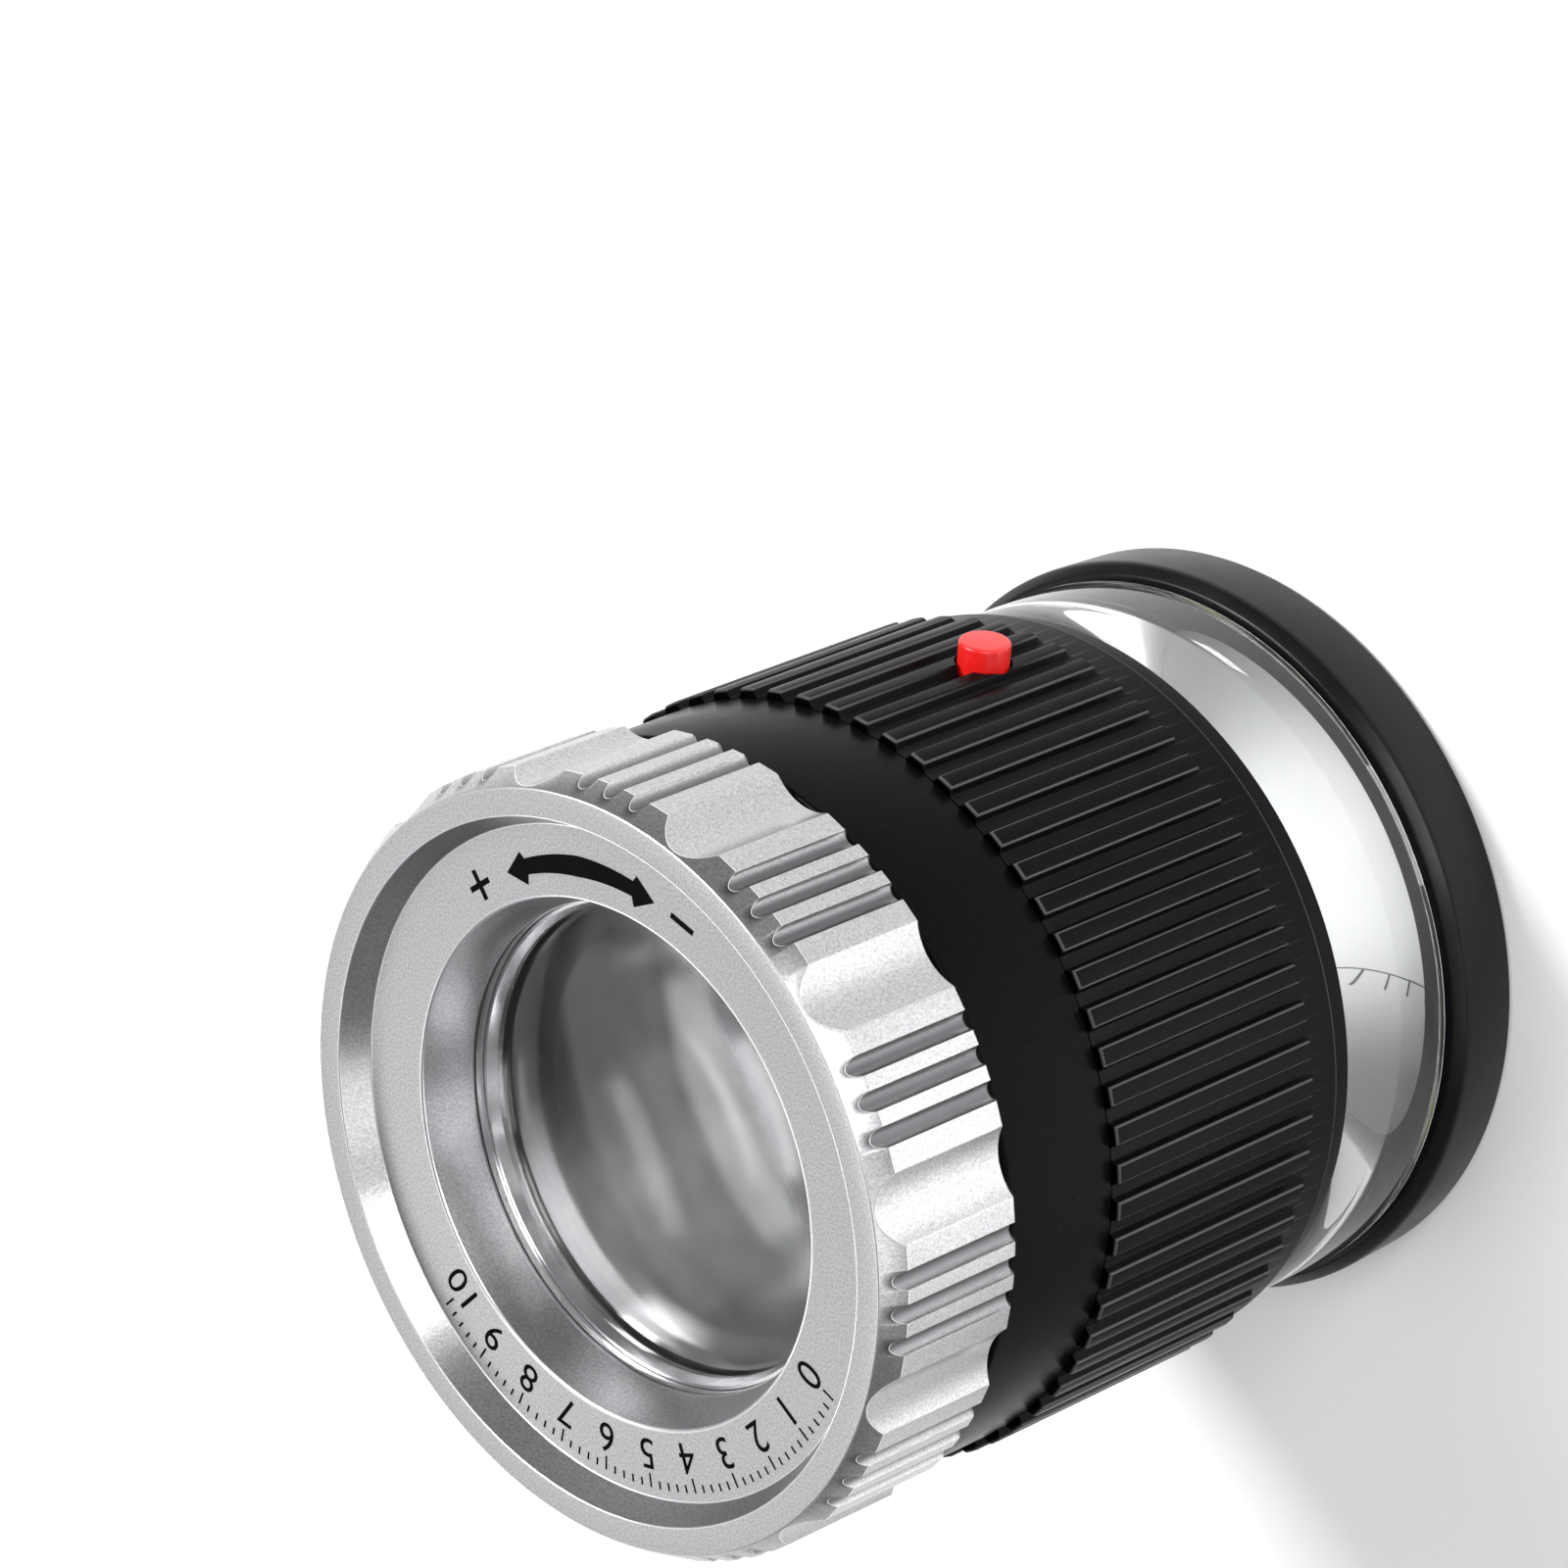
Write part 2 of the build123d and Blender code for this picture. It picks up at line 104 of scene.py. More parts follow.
def rounded(outline):
    """A closed outline of (r, z, corner radius) with each corner turned into an arc."""
    result = []
    for index, (r, z, radius) in enumerate(outline):
        corner = Vector((r, z))
        if radius <= 0:
            result.append((r, z))
            continue
        before = Vector(outline[index - 1][:2]) - corner
        after = Vector(outline[(index + 1) % len(outline)][:2]) - corner
        half = before.angle(after) / 2
        run = min(radius / math.tan(half), CORNER_REACH * before.length, CORNER_REACH * after.length)
        reach = run * math.tan(half)
        centre = corner + (before.normalized() + after.normalized()).normalized() * (reach / math.sin(half))
        first = corner + before.normalized() * run - centre
        last = corner + after.normalized() * run - centre
        sweep = first.angle_signed(last)
        for step in range(CORNER_STEPS + 1):
            turn = Matrix.Rotation(-sweep * step / CORNER_STEPS, 2)
            result.append(tuple(centre + turn @ first))
    return result


def ring_of_columns(name, angles, columns):
    """A closed shell through one closed outline per angle, all with the same number of points."""
    count = len(columns[0])
    points = []
    for angle, column in zip(angles, columns):
        cos_a, sin_a = math.cos(angle), math.sin(angle)
        points += [(r * cos_a, r * sin_a, z) for r, z in column]
    faces = []
    for turn in range(len(angles)):
        here, there = turn * count, (turn + 1) % len(angles) * count
        for step in range(count):
            ahead = (step + 1) % count
            faces.append((here + step, there + step, there + ahead, here + ahead))
    return smooth_mesh(name, points, faces)


def even_angles(count):
    return [math.tau * index / count for index in range(count)]


def turned(name, outline):
    """A plain turned ring from one closed outline with corner radii."""
    column = rounded(outline)
    return ring_of_columns(name, even_angles(TURNED_COLUMNS), [column] * TURNED_COLUMNS)


def turned_solid(name, half_outline, count=256):
    """A turned solid whose half outline starts and ends on the axis."""
    low, *middle, high = half_outline
    points = [(0, 0, low[1]), (0, 0, high[1])]
    faces = []
    size = len(middle)
    for angle in even_angles(count):
        points += [(r * math.cos(angle), r * math.sin(angle), z) for r, z in middle]
    for turn in range(count):
        here, there = 2 + turn * size, 2 + (turn + 1) % count * size
        faces.append((0, there, here))
        faces.append((1, here + size - 1, there + size - 1))
        for step in range(size - 1):
            faces.append((here + step, there + step, there + step + 1, here + step + 1))
    return smooth_mesh(name, points, faces)


# ---- material helpers --------------------------------------------------------------------------
# painted highlight tone for the housing's rib edges and the line above its flange
EDGE_HIGHLIGHT_TONE = (0.075, 0.075, 0.078)
# painted highlight tone for thin bright lines along the focus ring's corners
CORNER_HIGHLIGHT_TONE = (0.86, 0.86, 0.87)
# painted shade tone for the floors of the focus ring's flutes
FLUTE_SHADE_TONE = (0.10, 0.10, 0.105)
POLISH_UNEVENNESS = 0.02    # how far the roughness of clear parts wanders


class Finish:
    """A Principled material built from noise in the object's own coordinates, in metres."""

    def __init__(self, name, roughness, metallic=0.0, **constants):
        self.material = bpy.data.materials.new(name)
        self.material.use_nodes = True
        self.tree = self.material.node_tree
        self.shader = self.tree.nodes["Principled BSDF"]
        self.shader.inputs["Roughness"].default_value = roughness
        self.shader.inputs["Metallic"].default_value = metallic
        for socket, value in constants.items():
            self.shader.inputs[socket.replace("_", " ")].default_value = value
        self.place = self.tree.nodes.new("ShaderNodeTexCoord")
        self.bump_chain = None

    def stretched(self, stretch):
        """Object coordinates stretched along each axis, for brushed or turned marks."""
        mapping = self.tree.nodes.new("ShaderNodeMapping")
        mapping.inputs["Scale"].default_value = stretch
        self.tree.links.new(self.place.outputs["Object"], mapping.inputs["Vector"])
        return mapping.outputs["Vector"]

    def noise(self, size_mm, detail=2.0, stretch=None):
        """Noise whose features are about size_mm across."""
        node = self.tree.nodes.new("ShaderNodeTexNoise")
        node.inputs["Scale"].default_value = 1 / (size_mm * MM)
        node.inputs["Detail"].default_value = detail
        source = self.stretched(stretch) if stretch else self.place.outputs["Object"]
        self.tree.links.new(source, node.inputs["Vector"])
        return node.outputs["Fac"]

    def ranged(self, value, low, high, from_low=0.3, from_high=0.7):
        """The value remapped to a range."""
        node = self.tree.nodes.new("ShaderNodeMapRange")
        node.inputs["From Min"].default_value = from_low
        node.inputs["From Max"].default_value = from_high
        node.inputs["To Min"].default_value = low
        node.inputs["To Max"].default_value = high
        self.tree.links.new(value, node.inputs["Value"])
        return node.outputs["Result"]

    def blend_colours(self, value, first, second):
        """A colour between two, by a value from 0 to 1."""
        node = self.tree.nodes.new("ShaderNodeMix")
        node.data_type = "RGBA"
        node.inputs["A"].default_value = (*first, 1)
        node.inputs["B"].default_value = (*second, 1)
        self.tree.links.new(value, node.inputs["Factor"])
        return node.outputs["Result"]

    def colour(self, output):
        self.tree.links.new(output, self.shader.inputs["Base Color"])

    def rough(self, output):
        self.tree.links.new(output, self.shader.inputs["Roughness"])

    def bump(self, value, height_mm, strength=1.0):
        """Add a layer of surface relief."""
        node = self.tree.nodes.new("ShaderNodeBump")
        node.inputs["Strength"].default_value = strength
        node.inputs["Distance"].default_value = height_mm * MM
        self.tree.links.new(value, node.inputs["Height"])
        if self.bump_chain:
            self.tree.links.new(self.bump_chain, node.inputs["Normal"])
        self.bump_chain = node.outputs["Normal"]
        self.tree.links.new(self.bump_chain, self.shader.inputs["Normal"])


def speckled(name, dark, light, roughness, metallic=0.0, grain_mm=0.2, relief_mm=0.004, spread=0.06,
             **constants):
    """The common finish: two close tones, uneven gloss and a fine grain."""
    finish = Finish(name, roughness, metallic, **constants)
    grain = finish.noise(grain_mm, 3.0)
    cloud = finish.noise(grain_mm * 30, 3.0)
    finish.colour(finish.blend_colours(finish.ranged(grain, 0, 1), dark, light))
    finish.rough(finish.ranged(cloud, roughness - spread, roughness + spread))
    finish.bump(grain, relief_mm)
    return finish.material


def shade_marked(material, mark_name, tone):
    """Shift the colour to another tone where the mesh marks it: painted highlights along edges, painted
    shade in recesses.
    """
    tree = material.node_tree
    colour_socket = tree.nodes["Principled BSDF"].inputs["Base Color"]
    marked = tree.nodes.new("ShaderNodeMix")
    marked.data_type = "RGBA"
    marked.inputs["B"].default_value = (*tone, 1)
    tree.links.new(colour_socket.links[0].from_socket, marked.inputs["A"])
    mark = tree.nodes.new("ShaderNodeAttribute")
    mark.attribute_name = mark_name
    tree.links.new(mark.outputs["Fac"], marked.inputs["Factor"])
    tree.links.new(marked.outputs["Result"], colour_socket)


def satin_silver():
    """Fine blasted silver with sparkling grains."""
    material = speckled("satin_silver", (0.31, 0.31, 0.315), (0.50, 0.50, 0.51), 0.29, metallic=0.95,
                        grain_mm=0.15, relief_mm=0.0038, spread=0.004)
    # painted shade darkens the flute floors
    shade_marked(material, "flute_shade", FLUTE_SHADE_TONE)
    # the mark named polished carries painted highlight lines along the ring's corners
    shade_marked(material, "polished", CORNER_HIGHLIGHT_TONE)
    return material


def black_satin(name, roughness, grain_mm, relief_mm, specular):
    """Black plastic or paint with a soft sheen."""
    return speckled(name, (0.0015, 0.0015, 0.0018), (0.0045, 0.0045, 0.005), roughness,
                    grain_mm=grain_mm, relief_mm=relief_mm, spread=0.04, Specular_IOR_Level=specular)


def mark_points(mesh, mark_name, values):
    mesh.attributes.new(mark_name, "FLOAT", "POINT").data.foreach_set("value", values)


def clear(name, roughness, ior, tint, specular=0.5):
    """Clear plastic or glass whose polish is a little uneven."""
    finish = Finish(name, roughness, 0.0, Transmission_Weight=1.0, IOR=ior, Specular_IOR_Level=specular)
    cloud = finish.noise(6.0, 2.0)
    finish.colour(finish.blend_colours(finish.ranged(cloud, 0, 1), tint, (1.0, 1.0, 1.0)))
    finish.rough(finish.ranged(finish.noise(3.0, 3.0), roughness, roughness + POLISH_UNEVENNESS))
    return finish.material


def lens_tube_metal():
    """Polished at the mouth of the tube, matt black down the light path."""
    finish = Finish("lens_tube_metal", 0.2, 0.9)
    split = finish.tree.nodes.new("ShaderNodeSeparateXYZ")
    finish.tree.links.new(finish.place.outputs["Object"], split.inputs["Vector"])
    mouth = RETAINER_LOW.z * MM
    black_below = mouth - 0.05 * MM
    polished = finish.ranged(split.outputs["Z"], 0, 1, black_below, mouth)
    finish.colour(finish.blend_colours(polished, (0.006, 0.006, 0.006), (0.62, 0.62, 0.63)))
    finish.rough(finish.ranged(split.outputs["Z"], 0.7, 0.18, black_below, mouth))
    finish.bump(finish.noise(0.3, 2.0, (1, 1, 12)), 0.006)
    return finish.material


silver = satin_silver()
housing_black = black_satin("housing_black", 0.30, 0.16, 0.003, 0.05)
# painted highlights along the rib edges, the lands' front ends and the flange line
shade_marked(housing_black, "edge_highlight", EDGE_HIGHLIGHT_TONE)
collar_black = black_satin("collar_black", 0.28, 0.10, 0.0012, 0.03)
base_black = black_satin("base_black", 0.34, 0.12, 0.0015, 0.2)
inner_black = speckled("inner_black", (0.003, 0.003, 0.003), (0.009, 0.009, 0.009), 0.62, grain_mm=0.15)
acrylic = clear("clear_acrylic", 0.0, 1.49, (0.96, 0.975, 0.98))
# the eye lens is tinted grey: painted shade that darkens the view into the tube
shade_tinted_eye_glass = clear("shade_tinted_eye_glass", 0.10, 1.52, (0.72, 0.73, 0.74), 0.22)
# the inner lenses are tinted nearly black: painted shade for the dark inside of the tube seen through the
# eye lens
shade_tinted_inner_glass = clear("shade_tinted_inner_glass", 0.35, 1.6, (0.10, 0.10, 0.11), 0.05)
reticle_glass = speckled("reticle_glass", (0.90, 0.93, 0.92), (0.95, 0.97, 0.96), 0.08,
                         relief_mm=0.0002, Alpha=0.14)
red = speckled("button_red", (0.58, 0.005, 0.004), (0.68, 0.008, 0.006), 0.36, grain_mm=0.25,
               relief_mm=0.004, Subsurface_Weight=0.08, Subsurface_Scale=0.001)
ink = speckled("printed_ink", (0.001, 0.001, 0.001), (0.003, 0.003, 0.003), 0.6, grain_mm=0.08,
               Specular_IOR_Level=0.02)
tube_metal = lens_tube_metal()
spacer_metal = speckled("spacer_metal", (0.46, 0.46, 0.47), (0.58, 0.58, 0.59), 0.42, 0.6, relief_mm=0.003)
polished = speckled("polished_rim", (0.62, 0.62, 0.63), (0.74, 0.74, 0.75), 0.14, 0.97, grain_mm=0.1,
                    relief_mm=0.001)
steel = speckled("plated_steel", (0.48, 0.48, 0.49), (0.62, 0.62, 0.63), 0.32, 0.95)
brass = speckled("turned_brass", (0.62, 0.44, 0.17), (0.74, 0.56, 0.25), 0.34, 0.95)
board_white = speckled("board_white", (0.72, 0.75, 0.72), (0.82, 0.84, 0.82), 0.45)
phosphor = speckled("led_phosphor", (0.80, 0.66, 0.18), (0.88, 0.80, 0.42), 0.35)
holder_black = black_satin("holder_black", 0.45, 0.3, 0.004, 0.3)
nickel = speckled("cell_nickel", (0.55, 0.55, 0.56), (0.70, 0.70, 0.71), 0.25, 0.95)
nitrile = speckled("nitrile", (0.006, 0.006, 0.006), (0.014, 0.014, 0.014), 0.7)

CAD_MATERIALS = {
    "light_board": board_white, "leds": phosphor, "board_chips": holder_black, "board_screws": steel,
    "battery_holder": holder_black, "battery_cell_1": nickel, "battery_cell_2": nickel,
    "battery_cell_3": nickel, "battery_contacts": brass, "switch_body": holder_black,
    "switch_pins": steel, "button_spring": steel, "guide_sleeve": brass, "lens_tube": tube_metal,
    "guide_pins": brass, "snap_ring": steel, "flint_lens": shade_tinted_inner_glass, "crown_lens": shade_tinted_inner_glass,
    "lens_spacer": spacer_metal, "eye_lens_retainer": polished, "reticle_retainer": inner_black,
    "reticle_disc": reticle_glass, "focus_barrel": brass, "friction_ring": nitrile,
}
for node_name, material in CAD_MATERIALS.items():
    mesh = nodes[node_name].data
    mesh.materials.clear()
    mesh.materials.append(material)

# ---- focus ring: scallops and flutes run out on the rim's chamfer -------------------------------
GRIP_R = RING_HIGH.x
CHAMFER_Z = 53.7
LOWER_CHAMFER = 0.25
RIM_R = 23.2
RIM_INNER_R = 21.5
DIAL_OUTER_R = 20.6
DIAL_INNER_R = 16.15
DIAL_Z = 53.4
EYE_BORE_R = 15.1
EYE_BORE_Z = 50.3
RING_BORE_R = 21.5
PLATE_UNDER_Z = box_mm("focus_barrel")[1].z
HUB_R = 16.6
HUB_Z = box_mm("lens_tube")[1].z + 0.1
SCALLOPS = 12
FIRST_SCALLOP = 17.3
SCALLOP = {"width": 4.2, "depth": 0.8}
FLUTE = {"width": 1.2, "depth": 0.5}
FLUTE_STEP = 5.0
FLUTE_PLACES = (-1, 0, 1)
EDGE_SOFTNESS = 0.05
# the painted shade in the flutes stops below this height
FLUTE_SHADE_TOP_Z = CHAMFER_Z + 1

# where the columns stand across a groove
SCALLOP_COLUMNS = 26
FLUTE_COLUMNS = 14
FLOOR_SHARE = 0.96          # the columns inside a groove reach this share of its half width
EDGE_SHARES = (0.985, 1.0, 1.015)
EDGE_MARGINS = (0.12, 0.3)  # degrees past the edge


def cutter(width, depth):
    """Radius and centre distance of the round cutter for a groove."""
    sagitta = depth - (GRIP_R - math.sqrt(GRIP_R**2 - (width / 2) ** 2))
    radius = ((width / 2) ** 2 + sagitta**2) / (2 * sagitta)
    return radius, GRIP_R - depth + radius


def groove_depth_r(offset, width, depth):
    """The groove's surface radius at this angle from its middle, or past the grip where it isn't cut."""
    radius, distance = cutter(width, depth)
    side = distance * math.sin(offset)
    if abs(side) >= radius:
        return GRIP_R + 1
    return distance * math.cos(offset) - math.sqrt(radius**2 - side**2)


def soft_least(first, second, softness):
    """The lesser of two values, rounded where they cross."""
    share = max(0.0, min(1.0, 0.5 + 0.5 * (second - first) / softness))
    return second * (1 - share) + first * share - softness * share * (1 - share)


def grip_samples():
    """Angles in degrees from a scallop's middle over one period, close together at groove edges."""
    samples = []
    half_scallop = math.degrees(math.asin(SCALLOP["width"] / 2 / GRIP_R))
    half_flute = math.degrees(math.asin(FLUTE["width"] / 2 / GRIP_R))
    period = 360 / SCALLOPS
    middles = [(0, half_scallop, SCALLOP_COLUMNS)]
    middles += [(period / 2 + step * FLUTE_STEP, half_flute, FLUTE_COLUMNS) for step in FLUTE_PLACES]
    for middle, half, count in middles:
        for index in range(count + 1):
            samples.append(middle + half * FLOOR_SHARE * math.sin(math.pi * (index / count - 0.5)))
        samples += [middle + side * half * share for side in (-1, 1) for share in EDGE_SHARES]
        samples += [middle + side * (half + margin) for side in (-1, 1) for margin in EDGE_MARGINS]
    return sorted(samples), period


def focus_ring_outline(grip_r):
    """The ring's section where the grip has this radius, from the lower edge of its bore."""
    chamfer_low = CHAMFER_Z + (GRIP_R - grip_r) / (GRIP_R - RIM_R) * (RING_HIGH.z - CHAMFER_Z)
    return rounded([
        (RING_BORE_R, RING_LOW.z, 0.05),
        (grip_r - LOWER_CHAMFER, RING_LOW.z, 0.05),
        (grip_r, RING_LOW.z + LOWER_CHAMFER, 0.1),
        (grip_r, chamfer_low, 0.12),
        (RIM_R, RING_HIGH.z, 0.14),
        (RIM_INNER_R, RING_HIGH.z, 0.12),
        (DIAL_OUTER_R, DIAL_Z, 0.12),
        (DIAL_INNER_R, DIAL_Z, 0.25),
        (EYE_BORE_R, EYE_BORE_Z, 0.12),
        (EYE_BORE_R, HUB_Z, 0.03),
        (HUB_R, HUB_Z, 0.03),
        (HUB_R, PLATE_UNDER_Z, 0.03),
        (RING_BORE_R, PLATE_UNDER_Z, 0.05),
    ])


# the section's corners from the chamfer's lower edge to the eye bore get a painted highlight line
FIRST_HIGHLIGHT_CORNER, PAST_HIGHLIGHT_CORNER = 3, 9


def focus_ring_mesh():
    """The ring with painted shade in its flute floors and painted highlight lines along its corners marked.
    """
    samples, period = grip_samples()
    angles, columns, flute_shade = [], [], []
    for turn in range(SCALLOPS):
        for sample in samples:
            grip_r = soft_least(GRIP_R, groove_depth_r(math.radians(sample), **SCALLOP), EDGE_SOFTNESS)
            before_flutes = grip_r
            for step in FLUTE_PLACES:
                offset = math.radians(sample - period / 2 - step * FLUTE_STEP)
                grip_r = soft_least(grip_r, groove_depth_r(offset, **FLUTE), EDGE_SOFTNESS)
            column = focus_ring_outline(grip_r)
            depth_share = min(1.0, (before_flutes - grip_r) / FLUTE["depth"])
            outer_face_r = grip_r - 0.02
            angles.append(math.radians(FIRST_SCALLOP + turn * period + sample))
            columns.append(column)
            # painted shade in the flute floors, darker where the flute is deeper
            flute_shade += [depth_share if r > outer_face_r and z < FLUTE_SHADE_TOP_Z else 0.0 for r, z in column]
    mesh = ring_of_columns("focus_ring_shell", angles, columns)
    mark_points(mesh, "flute_shade", flute_shade)
    corner_points = CORNER_STEPS + 1
    corner_highlight_marks = []
    for index in range(len(columns[0])):
        on_face = FIRST_HIGHLIGHT_CORNER * corner_points < index < PAST_HIGHLIGHT_CORNER * corner_points
        inside_arc = 0 < index % corner_points < CORNER_STEPS
        corner_highlight_marks.append(1.0 if on_face and inside_arc else 0.0)
    # painted highlight lines inside the corner arcs from the chamfer's lower edge to the eye bore
    mark_points(mesh, "polished", corner_highlight_marks * len(columns))
    return mesh


link_piece("focus_ring_shell", focus_ring_mesh(), silver, "eyepiece", ["focus_ring"])

# ---- ribbed housing: ribs with crisp lands that fade out towards the flange --------------------
RIBS = 64
RIB_ROOT_R = 23.4
RIB_LOW_Z = 18.6
RIB_FADE = 0.5
RIB_EDGE = 0.07
GROOVE_TOP = 1.3
GROOVE_FLOOR = 0.8
FLANGE_R = 22.9
FLANGE_LINE_Z = 16.3
HOUSING_BORE_R = 22.0
SKIRT_THREAD_R = 21.45
BOARD_Z = box_mm("light_board")[0].z
BUTTON_HOLE_R = 1.75


def rib_profile():
    """Over one rib pitch from a groove's middle: angle offset, rib height as a share, and the mark for a
    painted highlight along the land's edge.
    """
    pitch = math.tau / RIBS
    floor = GROOVE_FLOOR / 2 / HOUSING_HIGH.x
    top = GROOVE_TOP / 2 / HOUSING_HIGH.x
    soft = RIB_EDGE / HOUSING_HIGH.x
    half = [
        (0, 0, 0), (floor - soft, 0, 0), (floor, 0.04, 0), (floor + soft, 0.2, 0),
        (top - soft, 0.74, 0), (top - soft / 2, 0.86, 1), (top + soft / 2, 0.97, 1),
        (top + soft, 1.0, 0), (pitch / 2 - 0.003, 1.0, 0),
    ]
    return [(-offset, share, mark) for offset, share, mark in reversed(half)] + half[1:], pitch


def housing_mesh():
    """The ribbed wall, with painted highlights along the rib edges and a painted highlight line above the
    flange marked.
    """
    profile, pitch = rib_profile()
    rib_height = HOUSING_HIGH.x - RIB_ROOT_R
    top_z = HOUSING_HIGH.z
    lower = rounded([
        (HOUSING_BORE_R, top_z, 0.05),
        (HOUSING_BORE_R, BOARD_Z, 0.05),
        (SKIRT_THREAD_R, BOARD_Z, 0.05),
        (SKIRT_THREAD_R, HOUSING_LOW.z, 0.05),
        (FLANGE_R, HOUSING_LOW.z, 0.10),
        (FLANGE_R + 0.05, FLANGE_LINE_Z - 0.30, 0),
        (RIB_ROOT_R - 0.14, FLANGE_LINE_Z - 0.12, 0.04),
        (RIB_ROOT_R, FLANGE_LINE_Z, 0.04),
        (RIB_ROOT_R, FLANGE_LINE_Z + 0.10, 0),
    ])
    # a painted highlight line along the flange's step
    flange_highlight_marks = [0.8 if abs(z - FLANGE_LINE_Z + 0.06) < 0.12 and r > FLANGE_R else 0.0 for r, z in lower]
    angles, columns, marks = [], [], []
    for turn in range(RIBS):
        for offset, share, mark in profile:
            crest = RIB_ROOT_R + rib_height * share + 0.002
            upper = [
                (RIB_ROOT_R, RIB_LOW_Z - 0.02),
                (RIB_ROOT_R + (crest - RIB_ROOT_R) * 0.12, RIB_LOW_Z + 0.04),
                (RIB_ROOT_R + (crest - RIB_ROOT_R) * 0.88, RIB_LOW_Z + RIB_FADE - 0.08),
                (crest, RIB_LOW_Z + RIB_FADE),
                (crest, top_z - 0.18),
                (crest - 0.02 * share, top_z - 0.09),
                (crest - 0.09 * share - 0.001, top_z - 0.02),
                (crest - 0.18 * share - 0.003, top_z),
            ]
            angles.append(math.radians(-90) + turn * pitch + offset)
            columns.append(lower + upper)
            # painted highlight along the land edges and along the lands' front ends
            front = 1.0 if share > 0.9 else 0.0
            marks += flange_highlight_marks + [0.0, 0.0, 0.3 * mark, mark, mark, max(mark, front), front * 0.6, 0.0]
    mesh = ring_of_columns("housing_shell", angles, columns)
    mark_points(mesh, "edge_highlight", marks)
    return mesh


def cut_button_hole(piece):
    """Bore the button's hole through the wall on the -Y side."""
    bpy.ops.mesh.primitive_cylinder_add(
        vertices=72, radius=BUTTON_HOLE_R * MM, depth=6 * MM,
        location=(0, -HOUSING_HIGH.x * MM, BUTTON_Z * MM), rotation=(math.radians(90), 0, 0))
    drill = bpy.context.object
    cut = piece.modifiers.new("button_hole", "BOOLEAN")
    cut.operation = "DIFFERENCE"
    cut.solver = "EXACT"
    cut.object = drill
    bpy.context.view_layer.objects.active = piece
    bpy.ops.object.modifier_apply(modifier=cut.name)
    bpy.data.objects.remove(drill)


housing = link_piece("housing_shell", housing_mesh(), housing_black, "body",
                     ["ribbed_housing"])
cut_button_hole(housing)

# ---- collar -------------------------------------------------------------------------------------
GUIDE_TUBE_R = 21.4
COLLAR_TOP_Z = RING_LOW.z - RUN_GAP
FOCUS_THREAD_R = 20.25
SPIGOT_R = HOUSING_BORE_R - RUN_GAP

collar = turned("collar_shell", [
    (FOCUS_THREAD_R, COLLAR_LOW.z, 0.05),
    (SPIGOT_R, COLLAR_LOW.z, 0.1),
    (SPIGOT_R, HOUSING_HIGH.z, 0.0),
    (COLLAR_HIGH.x, HOUSING_HIGH.z, 0.12),
    (COLLAR_HIGH.x, COLLAR_TOP_Z, 0.3),
    (GUIDE_TUBE_R, COLLAR_TOP_Z, 0.05),
    (GUIDE_TUBE_R, COLLAR_HIGH.z, 0.15),
    (FOCUS_THREAD_R, COLLAR_HIGH.z, 0.1),
])
link_piece("collar_shell", collar, collar_black, "body", ["collar"])

# ---- clear skirt ------------------------------------------------------------------------------------
SKIRT_BORE_R = 18.4
SPIGOT_OUTER_R = 21.2
SPIGOT_INNER_R = 19.75
SPACER_TOP_Z = box_mm("reticle_retainer")[1].z

skirt = turned("clear_skirt_shell", [
    (SKIRT_BORE_R, SPACER_TOP_Z, 0.1),
    (SPIGOT_INNER_R, SPACER_TOP_Z, 0.1),
    (SPIGOT_INNER_R, SKIRT_LOW.z, 0.1),
    (SPIGOT_OUTER_R, SKIRT_LOW.z, 0.1),
    (SPIGOT_OUTER_R, BASE_HIGH.z + RUN_GAP, 0.1),
    (SKIRT_HIGH.x - 0.3, BASE_HIGH.z + RUN_GAP, 0.08),
    (SKIRT_HIGH.x, BASE_HIGH.z + 0.4, 0.2),
    (SKIRT_HIGH.x, HOUSING_LOW.z - RUN_GAP, 0.1),
    (GUIDE_TUBE_R, HOUSING_LOW.z - RUN_GAP, 0.1),
    (GUIDE_TUBE_R, SKIRT_HIGH.z, 0.3),
    (SKIRT_BORE_R, SKIRT_HIGH.z, 0.2),
])
link_piece("clear_skirt_shell", skirt, acrylic, "body", ["clear_skirt"])

# ---- base ring --------------------------------------------------------------------------------------
BASE_FOOT_R = 23.5
BASE_WINDOW_R = 17.0
BASE_SHOULDER = 0.7
RETICLE_R = 19.65
RETICLE_STEP_Z = 0.4
RETICLE_WELL_Z = 1.5        # the well for the skirt's spigot steps in to the reticle's here

base = turned("base_ring_shell", [
    (BASE_WINDOW_R, 0, 0.05),
    (BASE_FOOT_R, 0, 0.35),
    (BASE_HIGH.x, BASE_HIGH.z - BASE_SHOULDER, 0.6),
    (BASE_HIGH.x - BASE_SHOULDER, BASE_HIGH.z, 0.25),
    (SPIGOT_OUTER_R + RUN_GAP, BASE_HIGH.z, 0.1),
    (SPIGOT_OUTER_R + RUN_GAP, RETICLE_WELL_Z, 0.05),
    (RETICLE_R, RETICLE_WELL_Z, 0.05),
    (RETICLE_R, RETICLE_STEP_Z, 0.05),
    (BASE_WINDOW_R, RETICLE_STEP_Z, 0.05),
])
link_piece("base_ring_shell", base, base_black, "body", ["base_ring"])

# ---- eye lens ---------------------------------------------------------------------------------------
LENS_SEAT_R = 14.3
LENS_EDGE_LOW_Z = 45.4
LENS_EDGE_HIGH_Z = 48.4
FACE_STEPS = 24


